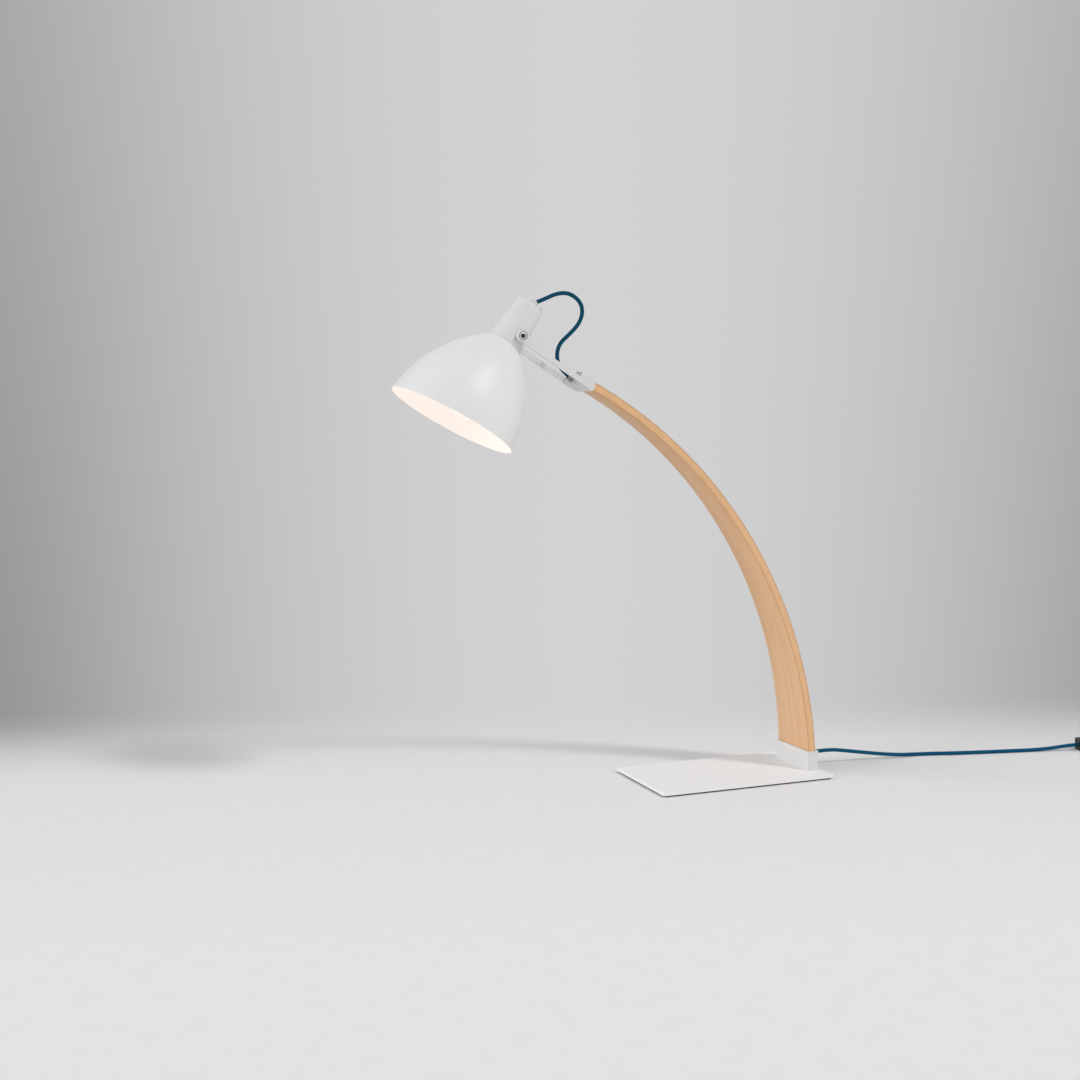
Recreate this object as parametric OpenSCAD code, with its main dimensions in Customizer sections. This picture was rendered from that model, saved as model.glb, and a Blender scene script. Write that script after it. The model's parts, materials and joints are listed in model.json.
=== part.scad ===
// Table lamp: a bent wooden arm, set in a socket on a steel plate, holds a fork with a tilting spun shade.
// Millimetres. The origin is the middle of the pad's underside, on the table.
// +Z is up, the arm stands at the +X end of the plate and the shade hangs out over -X.

/* [Base] */
// Length of the steel plate, along X
base_l = 246; // [200:1:320]
// Width of the steel plate, along Y
base_w = 138; // [110:1:200]
// Thickness of the steel plate
base_t = 4; // [3:0.5:10]
// Radius of the plate's corners
base_corner_r = 3; // [1:0.5:12]
// Thickness of the rubber pad under the plate
pad_t = 2; // [1:0.5:4]
// How far the pad stands back from the plate's edge
pad_inset = 2; // [1:0.5:20]

/* [Arm] */
// Bend radius of the wooden strip, at the middle of its thickness
bend_r = 575; // [500:5:650]
// Thickness of the strip
arm_t = 10; // [9:0.5:16]
// Width of the strip at its foot
arm_foot_w = 76; // [60:1:100]
// Width of the strip at its top
arm_top_w = 34; // [30:1:38]
// Angle at which the strip ends, seen from the centre of its bend
arm_end_angle = 64.2; // [56:0.2:68]
// Distance from the plate's end to the middle of the strip
arm_set_back = 13; // [12:0.5:40]
// Bore of the cord channel inside the strip
channel_d = 5.6; // [5.4:0.1:6]

/* [Arm socket] */
// Wall of the socket in front of and behind the strip
socket_wall = 3; // [2:0.25:5]
// Wall of the socket at the strip's two sides
socket_side = 1.7; // [1.5:0.1:5]
// Height of the socket
socket_h = 25; // [22:0.5:40]
// Thickness of the socket's floor, under the strip
socket_floor = 8; // [7:0.5:9]
// Height of the cord's outlet above the plate
outlet_h = 13; // [12.5:0.5:14]

/* [Fork] */
// Length of the cap on the strip's top end
cap_len = 21.5; // [17:0.5:30]
// Wall of the cap above and below the strip
cap_wall = 2.5; // [2:0.25:4]
// Thickness of the cap's front plate
cap_front_t = 2.5; // [2:0.25:4]
// Gap between the neck's side and each bar, at the pivot
bar_clear = 0.7; // [0.6:0.1:4]
// Thickness of a bar
bar_t = 3.2; // [2.5:0.1:5]
// Height of a bar
bar_h = 6.5; // [5:0.1:10]
// How far the middle of a bar runs below the pivot
bar_drop = 3.5; // [2:0.1:5]
// Diameter of the eye at the end of a bar
eye_d = 14; // [13:0.5:18]
// Height of the rim on the eye, round the bolt's head
eye_rim_h = 2.4; // [1:0.1:3]
// Width of that rim
eye_rim_t = 1.25; // [1:0.05:1.5]
// Distance from the middle of the cap to the pivot
fork_reach = 100.5; // [90:0.5:120]
// Slope of the bars, in degrees below the horizontal
fork_slope = 32; // [26:0.5:38]

/* [Shade and neck] */
// Tilt of the shade's axis from the vertical, in degrees
head_tilt = 35.8; // [20:0.1:50]
// Diameter of the shade at the middle of its mouth
mouth_d = 160; // [140:1:180]
// Slant of the mouth, in degrees: the front of the shade is longer than its back
mouth_slant = 6; // [0:0.5:12]
// Radius of the shade's curved side, seen in section
dome_r = 164; // [145:1:190]
// Flare of the shade's side at the mouth, in degrees
dome_flare = 4.6; // [3.2:0.2:12]
// Wall of the shade
shade_t = 1.2; // [0.8:0.1:2]
// Diameter of the neck where it sits on the shade
neck_base_d = 45.5; // [43:0.5:50]
// Diameter of the neck at its top
neck_top_d = 36; // [31:0.5:39]
// Height of the neck
neck_h = 57.5; // [50:0.5:66]
// Wall of the neck
neck_t = 2.2; // [1.6:0.1:2.8]
// Thickness of the neck's top
neck_top_t = 3; // [2:0.25:4]
// Height of the pivot above the shade's top
pivot_rise = 15.9; // [12:0.1:22]
// How far the pivot lies behind the shade's axis
pivot_back = 6.2; // [2:0.1:8]
// Diameter of the bosses on the neck
boss_d = 11; // [10:0.5:13]

/* [Pivot bolts] */
// Shank diameter of the pivot bolts
bolt_d = 6; // [5:0.5:6.5]
// Head diameter of the pivot bolts
bolt_head_d = 9; // [8.5:0.5:10]
// Head height of the pivot bolts
bolt_head_h = 2.6; // [2:0.1:4]
// Width of the key's hexagon in the bolt head
bolt_key = 4.5; // [3:0.5:5]
// Thickness of the friction washers
washer_t = 0.8; // [0.6:0.1:1.2]

/* [Lampholder and bulb] */
// Outer diameter of the lampholder's skirt
holder_d = 27; // [25:0.5:28]
// Length of the skirt below the shade's top
skirt_l = 46; // [38:0.5:52]
// Outer diameter of the ring that clamps the shade
ring_d = 38; // [34:0.5:42]
// Height of the ring
ring_h = 6; // [4:0.5:9]
// Diameter of the bulb
bulb_d = 45; // [40:0.5:50]
// Distance of the bulb's tip from the plane of the mouth
bulb_recess = 8; // [5:0.5:14]
// Diameter of the bulb's screw cap
bulb_cap_d = 13.7; // [13.4:0.1:14]
// Length of the bulb's screw cap
bulb_cap_l = 20; // [18:0.5:22]

/* [Cord] */
// Diameter of the cloth-covered cord
cord_d = 5; // [4.6:0.1:5.2]
// Radius of the outermost turn of the put-away coil
coil_r = 40; // [38:0.5:46]
// Step from one turn of the coil to the next
coil_step = 5.6; // [5.5:0.05:6]

/* [Switch] */
// Length of the switch in the cord
switch_l = 60; // [54:0.5:72]
// Width of the switch
switch_w = 26; // [25:0.5:32]
// Height of the switch
switch_h = 15; // [14:0.5:18]
// Wall of the switch's case
switch_wall = 2; // [1.6:0.1:2.4]
// Length of the rocker
rocker_l = 20; // [16:0.5:24]
// Width of the rocker
rocker_w = 13; // [10:0.5:13.4]
// Tilt of the rocker at rest, in degrees
rocker_tilt = 8; // [4:0.5:10]

/* [Plug] */
// Length of the plug's body
plug_l = 35; // [32:0.5:42]
// Width of the plug's body
plug_w = 26; // [25:0.5:32]
// Thickness of the plug's body
plug_t = 15; // [13:0.5:18]
// Distance between the plug's pins
pin_pitch = 19; // [18:0.1:19.4]
// Diameter of the plug's pins
pin_d = 4; // [3.8:0.1:4.8]
// Length of the plug's pins outside the body
pin_l = 19; // [17:0.5:20]

/* [Hidden] */
$fn = 64;
// Facets of a hexagonal recess
HEX = 6;
// A little extra so that a cut runs clear through
cut = 1;

// Clearances
wood_fit = 0.15;
screw_fit = 0.05;
run_fit = 0.05;
side_play = 0.15;
cord_fit = 0.2;
part_fit = 0.2;

// Heights and places on the base
plate_top = pad_t + base_t;
arm_x = base_l/2 - arm_set_back;
socket_t = arm_t + 2*socket_wall;
socket_w = arm_foot_w + 2*socket_side;
socket_back = arm_x + socket_t/2;
outlet_z = plate_top + outlet_h;

// The arm bends round a centre just below the table
bend_z = -2.5;
bend_x = arm_x - bend_r;
arm_start_angle = asin((plate_top + socket_floor - bend_z)/bend_r);
outlet_angle = asin((outlet_z - bend_z)/bend_r);
function arm_point(a) = [bend_x + bend_r*cos(a), 0, bend_z + bend_r*sin(a)];
function turn_of(length) = length/bend_r*180/PI;
arm_foot = arm_point(arm_start_angle);
arm_tip = arm_point(arm_end_angle);
arm_chord = norm(arm_tip - arm_foot);
arm_lean = atan2(arm_foot.x - arm_tip.x, arm_tip.z - arm_foot.z);

// The cap sits over the arm's end, and the fork runs on from it to the pivot
cap_front = arm_end_angle + turn_of(wood_fit + cap_front_t);
cap_back = cap_front - turn_of(cap_len);
cap_mid = (cap_front + cap_back)/2;
pivot = arm_point(cap_mid) + fork_reach*[-cos(fork_slope), 0, sin(fork_slope)];
neck_side = neck_base_d/2 - (neck_base_d - neck_top_d)/2*(pivot_rise - eye_d/2)/neck_h;
bar_gap = 2*(neck_side + bar_clear);
bar_out = bar_gap/2 + bar_t;
cap_screw_y = 9;

// The shade is one arc turned round its axis; heights here run up that axis from the mouth
dome_edge = acos(cos(dome_flare) - (mouth_d - neck_base_d)/2/dome_r);
dome_h = dome_r*(sin(dome_edge) - sin(dome_flare));
dome_centre = [mouth_d/2 - dome_r*cos(dome_flare), -dome_r*sin(dome_flare)];
pivot_h = dome_h + pivot_rise;
neck_top = dome_h + neck_h;
boss_end = bar_gap/2 - side_play - washer_t;
bolt_bite = 6;
boss_hole_end = boss_end - bolt_bite;

// Cord grip on top of the neck, and the threaded nipple that draws neck, shade and lampholder together
nipple_d = 10;
nipple_bore = 6;
nipple_stick_out = 1.5;
grip_d = 13;
grip_h = 2.5;
grip_root = 1;
grip_lean = 30;
grip_nose_l = 8;
grip_nose_d = 10;
grip_tip_d = 8;

// Lampholder heights along the shade's axis
holder_cap_d = 32;
holder_cap_h = 10;
holder_crown_h = 14;
holder_crown_d = 16;
holder_mouth = dome_h - skirt_l;
shell_t = 0.5;
shell_d = bulb_cap_d + 2*(part_fit + shell_t);
bulb_top = holder_mouth + 19;
bulb_cap_low = bulb_top - bulb_cap_l;
bulb_neck_d = 19;
contact_d = 6;
contact_h = 2;
contact_t = 1;
socket_end = bulb_top + contact_h + contact_t;

// Switch, on the cord to the right
switch_at = [560, -66, 0];
switch_turn = -13;
switch_mid = switch_h/2;
switch_corner = 6;
rocker_pin_d = 3;
rocker_axis_z = switch_h - 2.6;
rocker_cheek = 2.6;
rocker_room = 0.6;

// Coil, tie and plug, past the switch
coil_at = [646, -44];
coil_lift = 1;
coil_layer = 5.5;
coil_turns = 6.25;
coil_reverse = 3.25;
coil_half_climb = 0.25;
coil_rings = 24;
coil_sides = 6;
coil_lead = 10;
coil_tail = 30;
coil_tail_level = 8;
coil_z = coil_lift + cord_d/2;
plug_axis_z = plug_t/2;
plug_at = [coil_at.x + coil_r - coil_step*(2*coil_reverse - coil_turns), coil_at.y + coil_tail, plug_axis_z];
relief_l = 26;
tie_angle = 135;
tie_t = 0.7;
tie_w = 6;

// Routes of the free cord, from the base outward, and of the loop at the head
mains_route = [
  [118, 0, 19], [127, 0, 19], [140, 0, 19.8], [154, 0, 20], [168.5, 0, 19.2], [183, 0, 17], [198, 0, 14.5],
  [213, 0, 12], [228, 0, 9.5], [243, -0.5, 7.2], [258, -1, 5.2], [274, -2, 3.6], [290, -3.2, 2.8],
  [306, -6, 2.6], [322, -10, 2.6], [340, -15.5, 2.6], [360, -21, 2.6], [380, -26, 2.6], [400, -30.5, 2.6],
  [420, -35, 2.6], [440, -39.2, 2.6], [458, -43, 2.6], [475, -46.5, 3], [491, -50, 4], [506, -53.5, 5.6],
  [519, -56.5, 6.9], [530, -59.1, 7.5], [537, -60.7, 7.5]
];
switch_route = [
  [583, -71.3, 7.5], [592, -73.4, 7.5], [602, -76, 6.5], [612, -79, 4.8], [621, -82, 3.8], [629, -83.7, 3.5],
  [636, -84, 3.5]
];
function grip_point(d) = pivot - pivot_back*[cos(head_tilt), 0, -sin(head_tilt)]
  + (neck_top + grip_root - pivot_h)*[sin(head_tilt), 0, cos(head_tilt)]
  + d*[sin(head_tilt + grip_lean), 0, cos(head_tilt + grip_lean)];
head_route = [
  grip_point(grip_nose_l/2 - 1), grip_point(grip_nose_l), [-259.5, 0, 608.6], [-251.8, 0, 611.8], [-243.5, 0, 615.4],
  [-235, 0, 617.8], [-227, 0, 618.4], [-219.4, 0, 616.7], [-212, 0, 612.2], [-206.8, 0, 606], [-204.9, 0, 599.4],
  [-205.3, 0, 591.8], [-209, 0, 583.2], [-215, 0, 575.6], [-223.5, 0, 567.5], [-231, 0, 560.6], [-235.5, 0, 553.8],
  [-237.5, 0, 546], [-236.8, 0, 536.5], [-232, 0, 527.2], [-223.4, 0, 519.4], [-214.8, 0, 515.2]
];

// Colours
WHITE = "#ece9e4";
WOOD = "#d6a877";
STEEL = "#b9bcc0";
BLACK = "#1d1e20";
BRASS = "#c8a550";
CORD = "#1d5a78";
GREY = "#c9c7c2";

// Shared shapes

// Rectangle with true round corners
module round_rect(l, w, r) {
  square([l - 2*r, w], center = true);
  square([l, w - 2*r], center = true);
  for (x = [-1, 1], y = [-1, 1])
    translate([x*(l/2 - r), y*(w/2 - r)]) circle(r);
}

// Both sides of the lamp, mirrored across its middle plane
module both_sides() {
  for (m = [0, 1]) mirror([0, m, 0]) children();
}

// A place on the arm's middle line: +Z runs along the arm, +X points to its outer face
module on_arm(a) {
  translate(arm_point(a)) rotate([0, -a, 0]) children();
}

// A band round the centre of the bend, from one angle to another
module bend_band(t, w, a0, a1) {
  translate([bend_x, 0, bend_z]) rotate([90, 0, 0]) rotate([0, 0, a0])
    rotate_extrude(angle = a1 - a0, $fn = 180)
      translate([bend_r - t/2, -w/2]) square([t, w]);
}

// A round rod that follows the bend
module bend_rod(d, a0, a1) {
  translate([bend_x, 0, bend_z]) rotate([90, 0, 0]) rotate([0, 0, a0])
    rotate_extrude(angle = a1 - a0, $fn = 180)
      translate([bend_r, 0]) circle(d/2, $fn = 32);
}

// The strip's own form with a gap all round: a bent band cut to a straight taper
module arm_form(gap, a0, a1) {
  reach = 60;
  lean_out = (arm_foot_w - arm_top_w)/2/arm_chord;
  low = arm_foot_w/2 + gap + reach*lean_out;
  high = arm_top_w/2 + gap - reach*lean_out;
  intersection() {
    bend_band(arm_t + 2*gap, arm_foot_w + 2*reach, a0, a1);
    translate(arm_foot) rotate([0, -arm_lean, 0]) rotate([90, 0, 90])
      linear_extrude(arm_chord, center = true)
        polygon([[-low, -reach], [low, -reach], [high, arm_chord + reach], [-high, arm_chord + reach]]);
  }
}

// The shade's own axes: +Z up the axis from the mouth, +X towards the arm
module in_head() {
  translate(pivot) rotate([0, head_tilt, 0]) translate([-pivot_back, 0, -pivot_h]) children();
}

// The switch's own axes, standing on the table
module in_switch() {
  translate(switch_at) rotate([0, 0, switch_turn]) children();
}

// Tube swept along a route, one ring a point
function unit(v) = v/norm(v);
function heading(p, i) = unit(p[min(i + 1, len(p) - 1)] - p[max(i - 1, 0)]);
function side_of(t) = unit(cross(t, abs(t.z) > 0.9 ? [0, 1, 0] : [0, 0, 1]));
function flat_side(t) = unit(cross(t, [0, 1, 0]));
function ring(c, t, a, d, n) = [
  for (k = [0:n - 1]) c + d/2*(cos(360*k/n)*a + sin(360*k/n)*cross(t, a))
];
function tube_faces(m, n) = concat(
  [for (k = [1:n - 2]) [0, k, k + 1]],
  [for (k = [1:n - 2]) [(m - 1)*n, (m - 1)*n + k + 1, (m - 1)*n + k]],
  [for (i = [0:m - 2], k = [0:n - 1]) [i*n + k, (i + 1)*n + k, (i + 1)*n + (k + 1)%n]],
  [for (i = [0:m - 2], k = [0:n - 1]) [i*n + k, (i + 1)*n + (k + 1)%n, i*n + (k + 1)%n]]
);
module tube(route, d, n, upright = false) {
  rings = [
    for (i = [0:len(route) - 1])
      let (t = heading(route, i))
        each ring(route[i], t, upright ? flat_side(t) : side_of(t), d, n)
  ];
  polyhedron(rings, tube_faces(len(route), n), convexity = 10);
}

// Base

module base_plate() {
  color(WHITE) difference() {
    translate([0, 0, pad_t]) linear_extrude(base_t) round_rect(base_l, base_w, base_corner_r);
    socket_screw_places() socket_screw_form(screw_fit);
  }
}

module base_pad() {
  color(BLACK) linear_extrude(pad_t)
    round_rect(base_l - 2*pad_inset, base_w - 2*pad_inset, base_corner_r);
}

// Countersunk screws that hold the socket down, from under the plate
socket_screw_d = 5;
socket_screw_head_d = 9.6;
socket_screw_head_h = 2.6;
socket_screw_grip = 6;
socket_screw_y = 24;
module socket_screw_places() {
  both_sides() translate([arm_x, socket_screw_y, pad_t]) children();
}
module socket_screw_form(gap) {
  cylinder(h = base_t + socket_screw_grip + gap, d = socket_screw_d + 2*gap);
  cylinder(h = socket_screw_head_h, d1 = socket_screw_head_d + 2*gap, d2 = socket_screw_d + 2*gap);
}
module socket_screws() {
  color(STEEL) socket_screw_places() difference() {
    socket_screw_form(0);
    translate([0, 0, -cut]) cylinder(h = cut + socket_screw_head_h*0.6, d = socket_screw_d*0.6, $fn = HEX);
  }
}

module arm_socket() {
  color(WHITE) difference() {
    translate([arm_x, 0, plate_top]) linear_extrude(socket_h) round_rect(socket_t, socket_w, 1.2);
    arm_form(wood_fit, arm_start_angle, arm_start_angle + turn_of(2*socket_h));
    socket_screw_places() socket_screw_form(screw_fit);
    arm_screw_places() arm_screw_form(screw_fit);
    translate([arm_x, 0, outlet_z]) rotate([0, 90, 0]) cylinder(h = socket_t, d = bush_d + 2*screw_fit);
  }
}

// Pan-head screws through the socket's back wall into the wood
arm_screw_d = 4;
arm_screw_head_d = 8;
arm_screw_head_h = 2.4;
arm_screw_grip = 7;
arm_screw_y = 22;
arm_screw_h = 15;
module arm_screw_places() {
  both_sides() translate([socket_back, arm_screw_y, plate_top + arm_screw_h]) rotate([0, 90, 0]) children();
}
module arm_screw_form(gap) {
  bite = socket_wall + arm_screw_grip + gap;
  translate([0, 0, -bite]) cylinder(h = bite + cut/2, d = arm_screw_d + 2*gap);
}
module pan_head(d, h, key) {
  difference() {
    intersection() {
      cylinder(h = h, d = d);
      translate([0, 0, h - d]) sphere(d, $fn = 96);
    }
    translate([0, 0, h/2]) cylinder(h = h, d = key/cos(30), $fn = HEX);
  }
}
module arm_screws() {
  color(STEEL) arm_screw_places() {
    arm_screw_form(0);
    pan_head(arm_screw_head_d, arm_screw_head_h, 2.5);
  }
}

// The strip has a cord channel along its middle, which opens at the back of its foot
branch = 0.96;
module channel(d, a1) {
  elbow = arm_point(outlet_angle);
  bend_rod(d, outlet_angle - turn_of(d/2), a1);
  translate(elbow) rotate([0, 90, 0]) cylinder(h = socket_back - elbow.x - part_fit, d = branch*d);
}
module arm() {
  color(WOOD) difference() {
    arm_form(0, arm_start_angle, arm_end_angle);
    channel(channel_d, arm_end_angle + turn_of(cut));
    arm_screw_places() arm_screw_form(screw_fit);
    cap_screw_places() cap_screw_form(screw_fit);
    clamp_screw_place() clamp_screw_form(screw_fit);
  }
}
module arm_cord() {
  color(CORD) channel(cord_d, arm_end_angle);
}

// Black bush where the cord leaves the socket, with a tapered collar
bush_d = 8.8;
bush_collar_d = 12;
bush_nose_d = 9;
bush_l = 7;
module cord_bush(grip) {
  difference() {
    union() {
      translate([0, 0, -grip]) cylinder(h = grip + cut/2, d = bush_d);
      cylinder(h = bush_l, d1 = bush_collar_d, d2 = bush_nose_d);
    }
    translate([0, 0, -grip - cut]) cylinder(h = grip + bush_l + 2*cut, d = cord_d + 2*cord_fit);
  }
}
module base_cord_bush() {
  color(BLACK) translate([socket_back, 0, outlet_z]) rotate([0, 90, 0]) cord_bush(socket_wall - wood_fit);
}

// Fork: a cap over the arm's end, with a bar on each side that ends in a rimmed eye
module bar_outline() {
  difference() {
    union() {
      circle(eye_d/2);
      translate([0, -bar_drop - bar_h/2]) square([fork_reach + cap_len/2, bar_h]);
    }
    circle(bolt_d/2 + run_fit);
  }
}
module eye_rim() {
  difference() {
    circle(eye_d/2);
    circle(eye_d/2 - eye_rim_t);
  }
}
module fork() {
  color(WHITE) {
    difference() {
      bend_band(arm_t + 2*(wood_fit + cap_wall), bar_gap, cap_back, cap_front);
      arm_form(wood_fit, cap_back - turn_of(cut), arm_end_angle + turn_of(wood_fit));
      on_arm(cap_front) translate([0, 0, -2*cap_front_t]) cylinder(h = 3*cap_front_t, d = bush_d + 2*screw_fit);
      cap_screw_places() cap_screw_form(screw_fit);
      clamp_screw_place() clamp_screw_form(screw_fit);
    }
    both_sides() translate(pivot) rotate([0, fork_slope, 0]) translate([0, bar_out, 0]) rotate([90, 0, 0]) {
      linear_extrude(bar_t) bar_outline();
      translate([0, 0, -eye_rim_h]) linear_extrude(eye_rim_h + cut) eye_rim();
    }
  }
}

// Countersunk screws from under the cap into the wood
cap_screw_d = 3;
cap_screw_head_d = 5.8;
cap_screw_head_h = 1.7;
cap_screw_grip = 6;
module cap_screw_places() {
  face = arm_t/2 + wood_fit + cap_wall;
  both_sides() on_arm(cap_mid) translate([-face, cap_screw_y, 0]) rotate([0, 90, 0]) children();
}
module cap_screw_form(gap) {
  cylinder(h = cap_wall + cap_screw_grip + gap, d = cap_screw_d + 2*gap);
  cylinder(h = cap_screw_head_h, d1 = cap_screw_head_d + 2*gap, d2 = cap_screw_d + 2*gap);
}
module cap_screws() {
  color(BLACK) cap_screw_places() difference() {
    cap_screw_form(0);
    translate([0, 0, -cut]) cylinder(h = cut + 1, d = 2/cos(30), $fn = HEX);
  }
}

// A small pan-head screw on top of the cap
clamp_screw_d = 2.6;
clamp_screw_head_d = 4;
clamp_screw_head_h = 2.6;
clamp_screw_grip = 1.2;
clamp_set_back = 4.2;
module clamp_screw_place() {
  face = arm_t/2 + wood_fit + cap_wall;
  on_arm(cap_front - turn_of(clamp_set_back)) translate([face, 0, 0]) rotate([0, 90, 0]) children();
}
module clamp_screw_form(gap) {
  bite = cap_wall + clamp_screw_grip + gap;
  translate([0, 0, -bite]) cylinder(h = bite + cut/2, d = clamp_screw_d + 2*gap);
}
module clamp_screw() {
  color(STEEL) clamp_screw_place() {
    clamp_screw_form(0);
    pan_head(clamp_screw_head_d, clamp_screw_head_h, 1.5);
  }
}

module fork_cord_bush() {
  color(BLACK) on_arm(cap_front) cord_bush(cap_front_t);
}

// Shade and neck

// Section of the space inside a face that lies an inset in from the shade's outer face
mouth_drop = mouth_d*tan(mouth_slant);
module dome_section(inset, top) {
  intersection() {
    translate(dome_centre) circle(dome_r - inset, $fn = 180);
    translate([0, -mouth_drop]) square([mouth_d, mouth_drop + top]);
  }
}
module shade() {
  color(WHITE) in_head() difference() {
    rotate_extrude($fn = 120) difference() {
      dome_section(0, dome_h);
      dome_section(shade_t, dome_h - shade_t);
      square([holder_d/2 + part_fit, 2*dome_h]);
    }
    rotate([0, -mouth_slant, 0]) translate([0, 0, -mouth_d]) cube(2*mouth_d, center = true);
  }
}

module neck_section(inset) {
  base = neck_base_d/2 - inset;
  top = neck_top_d/2 - inset;
  polygon([[0, dome_h], [base, dome_h], [top, neck_top], [0, neck_top]]);
}
module neck_room() {
  difference() {
    rotate_extrude($fn = 96) neck_section(neck_t);
    translate([0, 0, neck_top - neck_top_t]) cylinder(h = neck_top_t + cut, d = neck_base_d);
  }
  translate([0, 0, dome_h - cut]) cylinder(h = 1.5*cut, d = neck_base_d - 2*neck_t);
}
module shade_neck() {
  color(WHITE) in_head() difference() {
    union() {
      rotate_extrude($fn = 96) neck_section(0);
      both_sides() translate([pivot_back, 0, pivot_h]) rotate([-90, 0, 0]) cylinder(h = boss_end, d = boss_d);
    }
    neck_room();
    cylinder(h = neck_top + cut, d = nipple_d + 2*screw_fit);
    both_sides() translate([pivot_back, boss_hole_end, pivot_h]) rotate([-90, 0, 0])
      cylinder(h = boss_end, d = bolt_d + 2*screw_fit);
    neck_screw_place() neck_screw_form(screw_fit);
  }
}

// Button-head bolts through the eyes into the neck's bosses
module pivot_bolts() {
  color(STEEL) in_head() both_sides() translate([pivot_back, 0, pivot_h]) rotate([-90, 0, 0]) {
    shank_low = boss_hole_end + cut/2;
    head_low = bar_out + side_play;
    translate([0, 0, shank_low]) cylinder(h = head_low - shank_low + cut/2, d = bolt_d);
    translate([0, 0, head_low]) pan_head(bolt_head_d, bolt_head_h, bolt_key);
  }
}
module pivot_washers() {
  color(STEEL) in_head() both_sides() translate([pivot_back, boss_end, pivot_h]) rotate([-90, 0, 0]) difference() {
    cylinder(h = washer_t, d = boss_d);
    translate([0, 0, -cut]) cylinder(h = washer_t + 2*cut, d = bolt_d + 2*screw_fit);
  }
}

// A small screw in the neck's top, behind the near bar
neck_screw_d = 2.6;
neck_screw_head_d = 3.6;
neck_screw_head_h = 1.8;
neck_screw_l = 4;
neck_screw_inset = 2.4;
neck_screw_turn = -50;
module neck_screw_place() {
  rotate([0, 0, neck_screw_turn]) translate([neck_top_d/2 - neck_screw_inset, 0, neck_top]) children();
}
module neck_screw_form(gap) {
  translate([0, 0, -neck_screw_l - gap]) cylinder(h = neck_screw_l + gap + cut/2, d = neck_screw_d + 2*gap);
}
module neck_screw() {
  color(STEEL) in_head() neck_screw_place() {
    neck_screw_form(0);
    translate([0, 0, part_fit]) pan_head(neck_screw_head_d, neck_screw_head_h, 1.3);
  }
}

// The grip has a flat foot on the neck's top, and a nose that leans the way the cord goes
module grip_nose(l, d1, d2) {
  translate([0, 0, neck_top + grip_root]) rotate([0, grip_lean, 0]) cylinder(h = l, d1 = d1, d2 = d2);
}
module neck_cord_grip() {
  bore = cord_d + 2*cord_fit;
  color(GREY) in_head() difference() {
    union() {
      translate([0, 0, neck_top]) cylinder(h = grip_h, d = grip_d);
      intersection() {
        grip_nose(grip_nose_l, grip_nose_d, grip_tip_d);
        translate([0, 0, neck_top]) cylinder(h = 2*grip_nose_l, d = 3*grip_d);
      }
    }
    translate([0, 0, neck_top - cut]) cylinder(h = cut + nipple_stick_out + part_fit, d = nipple_d + 2*screw_fit);
    grip_nose(grip_nose_l + cut, bore, bore);
  }
}
module cord_nipple() {
  color(STEEL) in_head() translate([0, 0, dome_h + holder_cap_h + holder_crown_h - nipple_seat]) difference() {
    cylinder(h = neck_h - holder_cap_h - holder_crown_h + nipple_seat + nipple_stick_out, d = nipple_d);
    translate([0, 0, -cut]) cylinder(h = neck_h, d = nipple_bore);
  }
}

// Lampholder

nipple_seat = 8;
module lampholder_cap() {
  color(BLACK) in_head() translate([0, 0, dome_h]) difference() {
    union() {
      cylinder(h = holder_cap_h, d = holder_cap_d);
      translate([0, 0, holder_cap_h]) cylinder(h = holder_crown_h, d1 = holder_cap_d, d2 = holder_crown_d);
    }
    translate([0, 0, holder_cap_h + holder_crown_h - nipple_seat])
      cylinder(h = nipple_seat + cut, d = nipple_d + 2*screw_fit);
    translate([0, 0, -cut]) cylinder(h = 2*holder_cap_h, d = nipple_bore);
  }
}
module lampholder_skirt() {
  color(BLACK) in_head() difference() {
    translate([0, 0, holder_mouth]) cylinder(h = skirt_l, d = holder_d);
    translate([0, 0, holder_mouth - cut]) cylinder(h = socket_end - holder_mouth + cut, d = shell_d + 2*screw_fit);
    translate([0, 0, holder_mouth - cut]) cylinder(h = cut + 3, d1 = bulb_neck_d + 4, d2 = shell_d);
    cylinder(h = 2*dome_h, d = nipple_bore);
  }
}
module shade_ring() {
  color(BLACK) in_head() translate([0, 0, dome_h - shade_t - ring_h]) difference() {
    cylinder(h = ring_h, d1 = ring_d - 2, d2 = ring_d);
    translate([0, 0, -cut]) cylinder(h = ring_h + 2*cut, d = holder_d + 2*screw_fit);
    for (a = [0:30:330])
      rotate([0, 0, a]) translate([ring_d/2 + 0.4, 0, -cut]) cylinder(h = ring_h + 2*cut, d = 3, $fn = 24);
  }
}
module screw_shell() {
  shell_low = holder_mouth + 4;
  color(BRASS) in_head() translate([0, 0, shell_low]) difference() {
    cylinder(h = bulb_top - shell_low, d = shell_d);
    translate([0, 0, -cut]) cylinder(h = skirt_l, d = shell_d - 2*shell_t);
  }
}
module centre_contact() {
  color(BRASS) in_head() translate([0, 0, bulb_top + contact_h]) cylinder(h = contact_t, d = shell_d - 2*shell_t);
}

// Bulb: a round globe, its neck and a screw cap

module bulb_glass() {
  globe = bulb_d/2;
  color("#fff3df") in_head() rotate_extrude($fn = 96) intersection() {
    union() {
      translate([0, bulb_recess + globe]) circle(globe);
      polygon([
        [0, bulb_recess + globe], [globe*0.86, bulb_recess + 1.5*globe], [bulb_neck_d/2, bulb_cap_low - 4],
        [bulb_neck_d/2, bulb_cap_low], [0, bulb_cap_low]
      ]);
    }
    square([bulb_d, dome_h]);
  }
}
module bulb_cap() {
  color(BRASS) in_head() translate([0, 0, bulb_cap_low]) cylinder(h = bulb_cap_l, d = bulb_cap_d);
}
module bulb_contact() {
  color(STEEL) in_head() translate([0, 0, bulb_top]) cylinder(h = contact_h, d1 = contact_d + 2, d2 = contact_d);
}

// Cords

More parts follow.
